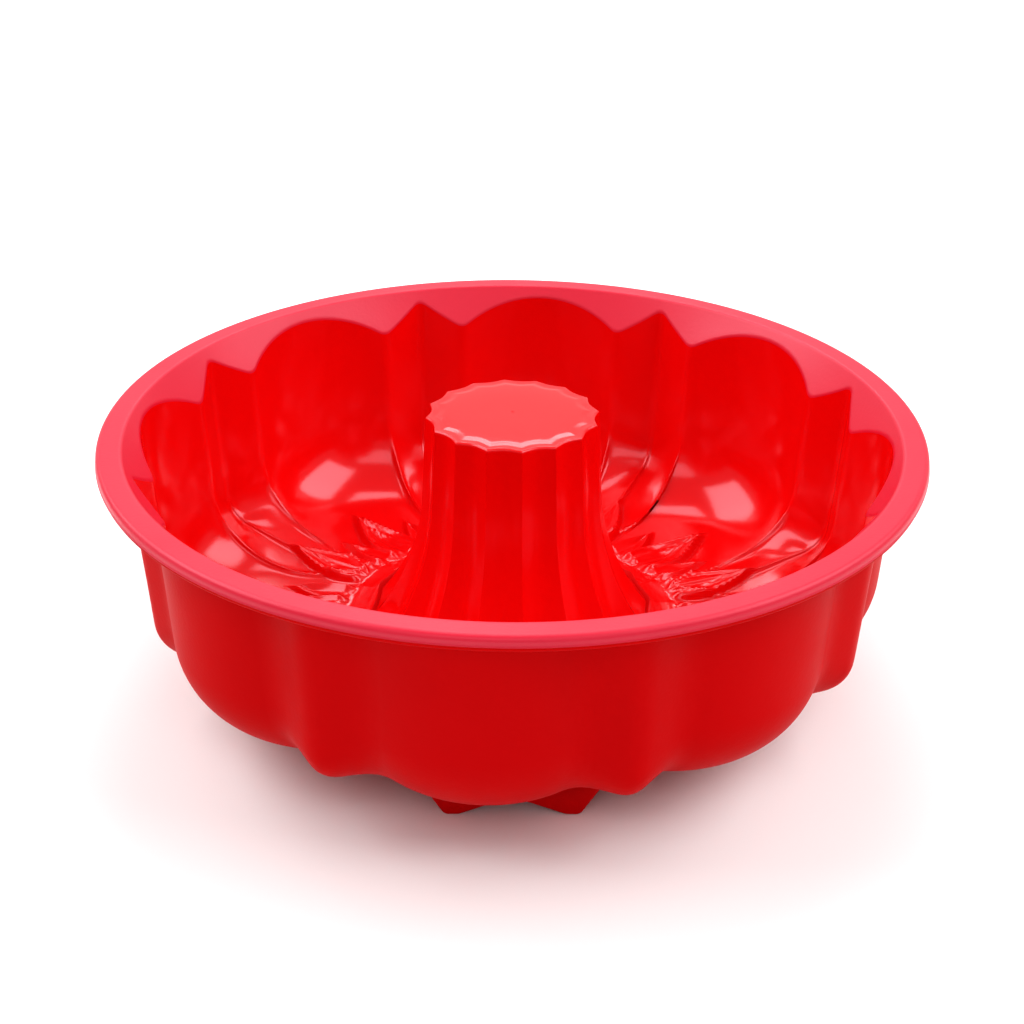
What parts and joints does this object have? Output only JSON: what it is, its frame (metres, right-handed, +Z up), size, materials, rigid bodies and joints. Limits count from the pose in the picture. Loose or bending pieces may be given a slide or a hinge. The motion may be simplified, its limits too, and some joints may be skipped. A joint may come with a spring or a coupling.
{
  "type": "bundt pan",
  "caption": "Red silicone ring-cake pan with alternating round and pointed petal walls, a thick flat rim, a closed fluted centre tube and small arched feet.",
  "frame": {"origin": "on the pan's axis, at the level of the feet that it stands on", "axes": "+Z up along the pan's axis, out of the open top; +X and +Y lie across the pan, -Y is the side seen in front"},
  "size_m": [0.24, 0.24, 0.0845],
  "materials": {
    "silicone": "saturated red moulded silicone, satin outside and glossy inside",
    "hoop_steel": "plain drawn steel wire, sealed inside the rim bead"
  },
  "bodies": {
    "root": {"rim": "silicone", "round_petal_1": "silicone", "round_petal_2": "silicone", "round_petal_3": "silicone", "round_petal_4": "silicone", "round_petal_5": "silicone", "round_petal_6": "silicone", "round_petal_7": "silicone", "round_petal_8": "silicone", "pointed_petal_1": "silicone", "pointed_petal_2": "silicone", "pointed_petal_3": "silicone", "pointed_petal_4": "silicone", "pointed_petal_5": "silicone", "pointed_petal_6": "silicone", "pointed_petal_7": "silicone", "pointed_petal_8": "silicone", "floor": "silicone", "centre_tube": "silicone", "tube_cap": "silicone", "foot_1": "silicone", "foot_2": "silicone", "foot_3": "silicone", "foot_4": "silicone", "rim_hoop": "hoop_steel"}
  },
  "joints": []
}
